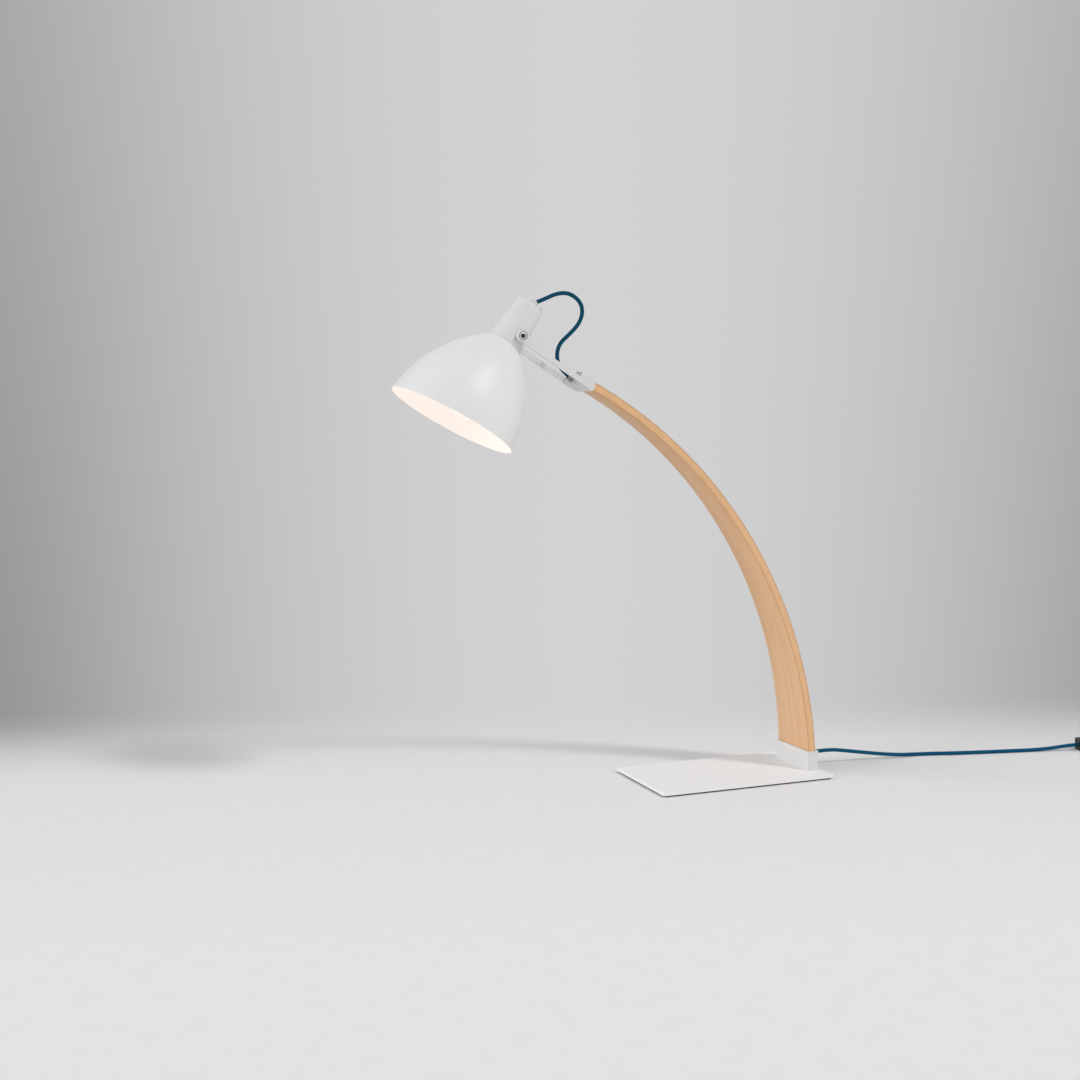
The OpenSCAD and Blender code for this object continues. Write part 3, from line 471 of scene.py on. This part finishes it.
# %% Shared effect: braided sleeve
STRANDS_ROUND = 8.0
STRANDS_PER_METRE = 420.0
GAP_SHADE_SPAN = (0.1, 0.75)
SLEEVE_ROUGHNESS = (0.95, 0.72)
braid_tree, w, given, out = new_effect(
    "braided_sleeve", {"UV": "vector", "Top": "color", "Gap": "color"})
uv_parts = w.node("ShaderNodeSeparateXYZ", {"Vector": given["UV"]}).outputs
round_turn = w.math("MULTIPLY", uv_parts["X"], 2 * math.pi * STRANDS_ROUND)
along_turn = w.math("MULTIPLY", uv_parts["Y"], 2 * math.pi * STRANDS_PER_METRE)


def strands(lean):
    """The height of one set of strands; lean adds or subtracts the way along the cord."""
    half_turn = w.math("MULTIPLY", w.math(lean, round_turn, along_turn), 0.5)
    return w.math("ABSOLUTE", w.math("SINE", half_turn))


checker = w.math("MULTIPLY", w.math("SINE", round_turn), w.math("SINE", along_turn))
swap = w.node("ShaderNodeMix", data_type="FLOAT")
w.feed(swap.inputs["Factor"], w.math("GREATER_THAN", checker, 0.0))
w.feed(swap.inputs["A"], strands("SUBTRACT"))
w.feed(swap.inputs["B"], strands("ADD"))
strand = swap.outputs["Result"]
# The gaps between the strands take a darker blue: painted shade in the recesses.
w.feed(out["Colour"], w.mix(w.ramp(strand, *GAP_SHADE_SPAN), given["Gap"], given["Top"]))
w.feed(out["Roughness"], w.ramp(strand, 0.0, 1.0, *SLEEVE_ROUGHNESS))
w.feed(out["Height"], strand)
print("group", braid_tree.name, "strands", STRANDS_ROUND)

# %% [markdown]
# A material is a Principled shader with one of these groups in front of it. What is the same all over
# the surface, such as metalness or a clear coat, is set on the shader's own sockets. The relief is a
# pair: how far the bumps would stand out, in metres, and how strongly they show.

# %% Material maker
COAT_RELIEF = (0.00005, 0.25)
MOULDED_RELIEF = (0.0001, 0.4)
WOOD_RELIEF = (0.0002, 0.35)
CLOTH_RELIEF = (0.0003, 0.8)
COAT_PEEL = 900.0


def new_material(name, group, coordinates, values, relief, **shader_values):
    """A material with a group's colour, roughness and height on a Principled shader."""
    material = bpy.data.materials.new(name)
    material.use_nodes = True
    wires = Wiring(material.node_tree)
    shader = material.node_tree.nodes["Principled BSDF"]
    for label, value in shader_values.items():
        shader.inputs[label.replace("_", " ")].default_value = value
    places = wires.node("ShaderNodeTexCoord").outputs
    effect = wires.node("ShaderNodeGroup", node_tree=group)
    wires.feed(effect.inputs[0], places[coordinates])
    if "Normal" in effect.inputs:
        wires.feed(effect.inputs["Normal"], places["Normal"])
    for label, value in values.items():
        wires.feed(effect.inputs[label], value)
    wires.feed(shader.inputs["Base Color"], effect.outputs["Colour"])
    wires.feed(shader.inputs["Roughness"], effect.outputs["Roughness"])
    distance, strength = relief
    bump = wires.node("ShaderNodeBump", {"Height": effect.outputs["Height"],
                                         "Distance": distance, "Strength": strength})
    wires.feed(shader.inputs["Normal"], bump.outputs["Normal"])
    return material


def coated(name, colour, shade, gloss, peel_scale=COAT_PEEL, relief=COAT_RELIEF, **shader_values):
    """A coated, moulded or metal finish: its colour, its darker shade, and its roughness."""
    values = {"Colour": linear(*colour), "Shade": linear(*shade), "Gloss": gloss,
              "Peel Scale": peel_scale}
    return new_material(name, coat_tree, "Object", values, relief, **shader_values)


print("groups to choose from:", sorted(tree.name for tree in bpy.data.node_groups))

# %% [markdown]
# First the finishes that make the lamp: white coat on the shade, a lighter copy of it on the plate,
# painted light, and a greyer copy on the fittings, painted shade; lacquered pale wood, and the blue
# cloth of the cord, with a darker copy of it on the loop at the head, painted shade. The lamp is on,
# so the opal bulb gives light of its own. The coat inside the shade glows too: that glow is painted
# light, standing in for the bulb's light on it, and the coat's own colour is toned down for it, or
# it would burn out where a studio lamp shines into the mouth.

# %% Coats, bulb, wood and cloth
PLATE_PEEL = 1100.0
BULB_PEEL = 400.0
CLOTH_SPECULAR = 0.12
white_coat = coated("white_coat", (234, 234, 234), (228, 228, 228), 0.42)
# A greyer copy of the white coat for the fittings: painted shade.
shaded_fitting_coat = coated("shaded_fitting_coat", (224, 224, 224), (218, 218, 218), 0.45)
# A lighter copy of the white coat for the plate: painted light.
lit_plate_coat = coated("lit_plate_coat", (244, 244, 245), (241, 241, 242), 0.48, PLATE_PEEL)
# The inside coat's glow is painted light, standing in for the bulb's light inside the shade.
inside_painted_glow = coated("inside_painted_glow", (174, 164, 153), (168, 156, 145), 0.5,
                     Emission_Color=linear(255, 246, 242), Emission_Strength=0.62)
opal_bulb = coated("opal_bulb", (206, 202, 194), (202, 197, 188), 0.3, BULB_PEEL,
                   Emission_Color=linear(255, 248, 236), Emission_Strength=0.5)
pale_wood = new_material("pale_wood", grain_tree, "Object",
                         {"Pale": linear(232, 190, 147), "Warm": linear(220, 174, 129),
                          "Fleck": linear(180, 132, 90), "Side": linear(243, 191, 137)},
                         WOOD_RELIEF, Coat_Weight=0.08, Coat_Roughness=0.35)
# The loop at the head and the cord in the arm take a darker copy of the cord's cloth, painted shade:
# it is one cord.
cord_cloth, shaded_loop_cloth = [
    new_material(name, braid_tree, "UV", {"Top": top, "Gap": gap_shade}, CLOTH_RELIEF,
                 Specular_IOR_Level=CLOTH_SPECULAR)
    for name, top, gap_shade in (("cord_cloth", linear(6, 86, 122), linear(2, 34, 54)),
                           ("shaded_loop_cloth", linear(10, 76, 102), linear(3, 32, 48)))]
print("finishes so far:", len(bpy.data.materials))

# %% [markdown]
# The small parts have pale bolts, grey and black screws, black and grey rubber, moulded plastic, and
# brass for what carries current. All of them use the same coated skin: on metal its fine noise reads
# as the last trace of the cutting tool, on plastic and rubber as the grain of the mould.

# %% Metals, rubber and plastic
METAL_PEEL = 1600.0
BRASS_PEEL = 1200.0
RUBBER_PEEL = 700.0
PLASTIC_PEEL = 1500.0
bright_steel = coated("bright_steel", (196, 197, 200), (170, 171, 175), 0.3, METAL_PEEL, Metallic=1.0)
pale_steel = coated("pale_steel", (208, 208, 207), (190, 190, 190), 0.38, METAL_PEEL, Metallic=0.35)
grey_screw = coated("grey_screw", (158, 158, 158), (140, 140, 141), 0.4, METAL_PEEL, Metallic=0.3)
black_screw = coated("black_screw", (46, 46, 49), (30, 30, 33), 0.4, METAL_PEEL, Metallic=0.6)
warm_brass = coated("warm_brass", (205, 170, 100), (176, 140, 76), 0.28, BRASS_PEEL, Metallic=1.0)
black_rubber = coated("black_rubber", (22, 22, 24), (15, 15, 17), 0.75, RUBBER_PEEL, MOULDED_RELIEF,
                      Specular_IOR_Level=0.25)
grey_rubber = coated("grey_rubber", (138, 140, 144), (120, 122, 126), 0.7, RUBBER_PEEL,
                     MOULDED_RELIEF)
black_plastic = coated("black_plastic", (30, 30, 32), (40, 40, 42), 0.5, PLASTIC_PEEL,
                       MOULDED_RELIEF)
washer_plastic = coated("washer_plastic", (214, 213, 208), (198, 197, 192), 0.5)
print("finishes:", len(bpy.data.materials))

# %% [markdown]
# The solids keep their shapes, so each only gets its finish. The shade follows on its own, because
# its outside and its inside differ.

# %% Dress the solids and the cords
finish_of = {
    shaded_fitting_coat: ["arm_socket", "fork", "shade_neck"],
    lit_plate_coat: ["base_plate"],
    pale_wood: ["arm"],
    opal_bulb: ["bulb_glass"],
    bright_steel: ["socket_screws", "arm_screws", "cord_nipple", "plug_pins", "switch_screws"],
    pale_steel: ["pivot_bolts"],
    grey_screw: ["clamp_screw", "neck_screw"],
    black_screw: ["cap_screws"],
    washer_plastic: ["pivot_washers", "neck_cord_grip"],
    black_rubber: ["base_pad", "base_cord_bush"],
    grey_rubber: ["fork_cord_bush"],
    black_plastic: ["lampholder_cap", "lampholder_skirt", "shade_ring", "switch_lower",
                    "switch_upper", "switch_rocker", "plug_body", "plug_relief", "cord_tie"],
    warm_brass: ["screw_shell", "centre_contact", "bulb_cap", "bulb_contact", "switch_terminals"]}
for material, names in finish_of.items():
    for name in names:
        nodes[name].data.materials.clear()
        nodes[name].data.materials.append(material)
for material, cords in ((cord_cloth, (mains_cord, lead_cord)), (shaded_loop_cloth, (loop_cord, inner_cord))):
    for cord in cords:
        cord.data.materials.append(material)
print("dressed", sum(len(names) for names in finish_of.values()), "solids and 4 cords")

# %% [markdown]
# Edges on real parts are never knife sharp. They could be rounded in the CAD model, but such fine
# rounding is a matter of looks: a Weld modifier joins the corners of neighbouring faces, and a Bevel
# modifier then breaks the edge by a few tenths of a millimetre, which catches a thin line of light.

# %% Broken edges
EDGE_BREAK = {
    "base_plate": 0.0004, "arm_socket": 0.0006, "arm": 0.0009, "fork": 0.0005, "shade_neck": 0.0008,
    "switch_lower": 0.0012, "switch_upper": 0.0014, "switch_rocker": 0.0004, "plug_body": 0.0018,
    "plug_relief": 0.0005, "neck_cord_grip": 0.0005, "fork_cord_bush": 0.0005,
    "base_cord_bush": 0.0005, "cord_tie": 0.0002, "pivot_bolts": 0.0003, "shade_ring": 0.0003}
JOIN_WITHIN = 0.00001
EDGE_SEGMENTS = 2
EDGE_ANGLE = math.radians(38)
for name, width in EDGE_BREAK.items():
    weld = nodes[name].modifiers.new("join_corners", "WELD")
    weld.merge_threshold = JOIN_WITHIN
    bevel = nodes[name].modifiers.new("broken_edge", "BEVEL")
    bevel.width = width
    bevel.segments = EDGE_SEGMENTS
    bevel.limit_method = "ANGLE"
    bevel.angle_limit = EDGE_ANGLE
    bevel.harden_normals = True
print(len(EDGE_BREAK), "solids with broken edges")

# %% [markdown]
# The shade is one skin of steel, coated white outside; inside it takes the glowing coat, painted light
# that stands in for the bulb's light on it. Two solids, one in the other, would be another way, but
# the real shade is one piece. So its faces are sorted by which way they look: a face that looks
# towards the shade's axis, or straight down it, is inside.

# %% Shade: outside and inside
HEAD_TILT = math.radians(35.8)
PIVOT_BACK = 0.0062
PIVOT_RISE = 0.1277
LOOKS_TO_AXIS = -0.05
LOOKS_DOWN = -0.9
pivot = Vector(frame["joints"][0]["pos_m"])
head_axis = Vector((math.sin(HEAD_TILT), 0, math.cos(HEAD_TILT)))
head_back = Vector((math.cos(HEAD_TILT), 0, -math.sin(HEAD_TILT)))
mouth_middle = pivot - head_back * PIVOT_BACK - head_axis * PIVOT_RISE
shade = nodes["shade"].data
shade.materials.clear()
shade.materials.append(white_coat)
shade.materials.append(inside_painted_glow)
for face in shade.polygons:
    from_mouth = face.center - mouth_middle
    outward = (from_mouth - head_axis * from_mouth.dot(head_axis)).normalized()
    looks_in = (face.normal.dot(outward) < LOOKS_TO_AXIS
                or face.normal.dot(head_axis) < LOOKS_DOWN)
    # Inside faces take the coat with the painted glow.
    face.material_index = int(looks_in)
inside_faces = sum(face.material_index for face in shade.polygons)
print("shade faces inside:", inside_faces, "of", len(shade.polygons))

# %% [markdown]
# The pivot bolts are bright, and the bottom of the hexagon for the key is painted dark: painted shade
# in the recess. Its faces are found by their place: close round the pivot's axis, below the top of
# the head, looking out.

# %% Dark key sockets in the pivot bolts
SOCKET_REACH = 0.0027
SOCKET_SPAN = (0.0262, 0.0285)
LOOKS_OUT = 0.9
bolts = nodes["pivot_bolts"].data
bolts.materials.append(black_screw)
for face in bolts.polygons:
    off_axis = math.hypot(face.center.x - pivot.x, face.center.z - pivot.z)
    in_head = SOCKET_SPAN[0] < abs(face.center.y) < SOCKET_SPAN[1]
    socket_shade = in_head and off_axis < SOCKET_REACH and abs(face.normal.y) > LOOKS_OUT
    # Socket faces take the black finish: painted shade.
    face.material_index = int(socket_shade)
print("key socket faces:", sum(face.material_index for face in bolts.polygons))

# %% [markdown]
# The stage is a plain pale floor. In a studio it would be a sheet of paper that sweeps up behind the
# lamp. Here its paint turns a little darker towards the back, painted shade, and it fades out behind
# the lamp, so that the backdrop of the world takes over there. Far out it fades on all sides, so that
# no edge shows. All of this follows the place on the floor, so it stays put when the camera moves
# round.

# %% Floor
FLOOR_HALF = 9.0
FLOOR_SEGMENTS = 8
floor_mesh = bmesh.new()
bmesh.ops.create_grid(floor_mesh, x_segments=FLOOR_SEGMENTS, y_segments=FLOOR_SEGMENTS,
                      size=FLOOR_HALF)
floor_data = bpy.data.meshes.new("studio_floor")
floor_mesh.to_mesh(floor_data)
floor_mesh.free()
floor = bpy.data.objects.new("studio_floor", floor_data)
bpy.context.scene.collection.objects.link(floor)
floor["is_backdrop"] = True
print("floor", 2 * FLOOR_HALF, "m across")

# %% [markdown]
# The floor's paint is matt, with hardly any shine, or it would mirror the wall at a low angle. The
# way back from the lamp is a dot product of the place with the view's level heading, turned a little,
# because the photograph's floor fades sooner on one side.

# %% Floor paint and fade
FLOOR_ROUGHNESS = 0.85
FLOOR_SPECULAR = 0.15
SPECKLE_SCALE, SPECKLE_DETAIL = 40.0, 4.0
SPECKLE_SPAN = (0.3, 0.7)
FADE_TURN = 0.09
FLOOR_SHADE_SPAN = (-0.6, 0.1)
FADE_SPAN = (-0.03, 0.54)
FADE_AROUND = (2.2, 6.5)
floor_material = bpy.data.materials.new("studio_floor")
floor_material.use_nodes = True
w = Wiring(floor_material.node_tree)
floor_shader = floor_material.node_tree.nodes["Principled BSDF"]
floor_shader.inputs["Roughness"].default_value = FLOOR_ROUGHNESS
floor_shader.inputs["Specular IOR Level"].default_value = FLOOR_SPECULAR
floor_place = w.node("ShaderNodeTexCoord").outputs["Object"]
level_forward = Vector((-view_back.x, -view_back.y, 0)).normalized()
level_right = Vector((-view_back.y, view_back.x, 0)).normalized()
away = w.dot(floor_place, level_forward - level_right * FADE_TURN)
speckle = w.ramp(w.noise(floor_place, SPECKLE_SCALE, SPECKLE_DETAIL), *SPECKLE_SPAN)
floor_near = w.mix(speckle, linear(243, 243, 243), linear(241, 241, 242))
# The far floor's darker paint is painted shade.
floor_far_shade = w.mix(speckle, linear(235, 235, 235), linear(233, 233, 234))
floor_colour = w.mix(w.ramp(away, *FLOOR_SHADE_SPAN), floor_near, floor_far_shade)
w.feed(floor_shader.inputs["Base Color"], floor_colour)
from_lamp = w.node("ShaderNodeVectorMath", {0: floor_place}, operation="LENGTH").outputs["Value"]
fade_behind = w.eased(away, *FADE_SPAN, 1.0, 0.0)
fade_around = w.eased(from_lamp, *FADE_AROUND, 1.0, 0.0)
w.feed(floor_shader.inputs["Alpha"], w.math("MULTIPLY", fade_behind, fade_around))
floor_data.materials.append(floor_material)
print("floor fades over", FADE_SPAN, "m behind the lamp and", FADE_AROUND, "m around it")

# %% [markdown]
# Behind the lamp the photograph has a grey studio wall, palest a little right of the middle and darker
# towards both sides. A wall of its own would stand in the way of other views, so the world paints it
# by heading: the further a direction turns from the palest one, the darker it gets, by the square of
# the turn. Past the view's edges it goes back to a paler tone.

# %% World: the wall that the camera sees
WALL_PALE = linear(210, 210, 211)
WALL_DARK = linear(150, 150, 151)
WALL_HALF_TURN = math.radians(22.5)
WALL_CENTRE_TURN = math.radians(1.8)
WALL_KNEE = 0.3
WALL_SIDES = (math.radians(20), math.radians(75), 1.0, 0.3)
WALL_HEIGHTS = (-0.25, 0.25, 1.15, 0.85)
world = bpy.data.worlds.new("studio")
bpy.context.scene.world = world
world.use_nodes = True
world.node_tree.nodes.clear()
w = Wiring(world.node_tree)
heading = w.node("ShaderNodeTexCoord").outputs["Generated"]
turn = w.math("ARCTAN2", w.dot(heading, level_right), w.dot(heading, level_forward))
off_centre = w.math("ABSOLUTE", w.math("SUBTRACT", turn, WALL_CENTRE_TURN))
turned_share = w.math("SMOOTH_MIN", w.math("DIVIDE", off_centre, WALL_HALF_TURN), 1.0, WALL_KNEE)
darker = w.math("POWER", turned_share, 2.0)
paler_sides = w.eased(off_centre, *WALL_SIDES)
lower_is_darker = w.ramp(w.dot(heading, Vector((0, 0, 1))), *WALL_HEIGHTS)
wall_share = w.math("MULTIPLY", w.math("MULTIPLY", darker, paler_sides), lower_is_darker)
wall_colour = w.mix(wall_share, WALL_PALE, WALL_DARK)
print("the wall darkens over", round(math.degrees(WALL_HALF_TURN), 1), "degrees")

# %% [markdown]
# The light on the lamp comes from an even white world, as from a room of white screens. Light Path
# tells what the camera sees, straight on or in a shine, from the rest, so the wall's tone doesn't
# change that light.

# %% World: an even light
EVEN_LIGHT = 0.48
ray = w.node("ShaderNodeLightPath").outputs
in_shine = w.math("MAXIMUM", ray["Is Glossy Ray"], ray["Is Transmission Ray"])
seen = w.math("MAXIMUM", ray["Is Camera Ray"], in_shine)
even = w.node("ShaderNodeBackground", {"Color": (1, 1, 1, 1), "Strength": EVEN_LIGHT})
shown = w.node("ShaderNodeBackground", {"Color": wall_colour, "Strength": 1.0})
both = w.node("ShaderNodeMixShader", {0: seen, 1: even.outputs[0], 2: shown.outputs[0]})
w.node("ShaderNodeOutputWorld", {"Surface": both.outputs[0]})
print("even light", EVEN_LIGHT)

# %% [markdown]
# Three far, soft lamps shape the lamp. The key stands right and in front, and throws the soft shadow
# that runs off to the left. The two fills are wide and stand low, left and front: they lift the sides
# of the shade and the inner face of the strip, and hardly touch the floor. Sun lamps light near and
# far alike, so the floor stays even.

# %% Key and fills
SUN_DISTANCE = 3
SUNS = {  # where it stands, its spread in degrees, and its strength
    "key_right": ((0.42, -0.57, 0.7), 8, 1.05),
    "fill_left": ((-0.92, 0.2, 0.33), 50, 1.3),
    "fill_front": ((0.72, -0.68, 0.1), 40, 0.25)}
for name, (towards, spread, strength) in SUNS.items():
    sun_data = bpy.data.lights.new(name, "SUN")
    sun_data.angle = math.radians(spread)
    sun_data.energy = strength
    sun = bpy.data.objects.new(name, sun_data)
    sun.location = Vector(towards) * SUN_DISTANCE
    sun.rotation_mode = "QUATERNION"
    sun.rotation_quaternion = (-Vector(towards)).to_track_quat("-Z", "Y")
    bpy.context.scene.collection.objects.link(sun)

# %% [markdown]
# Last, the box of the dressed lamp is set beside the box of the solids. Dressing must not make the
# lamp bigger, so the two are written out to compare.

# %% Compare the boxes and finish
dressed_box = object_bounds()
corners = zip(cad_box, dressed_box)
grew = [round(1000 * (abs(b) - abs(a)), 1) for c, d in corners for a, b in zip(c, d)]
print("grew by mm:", grew)
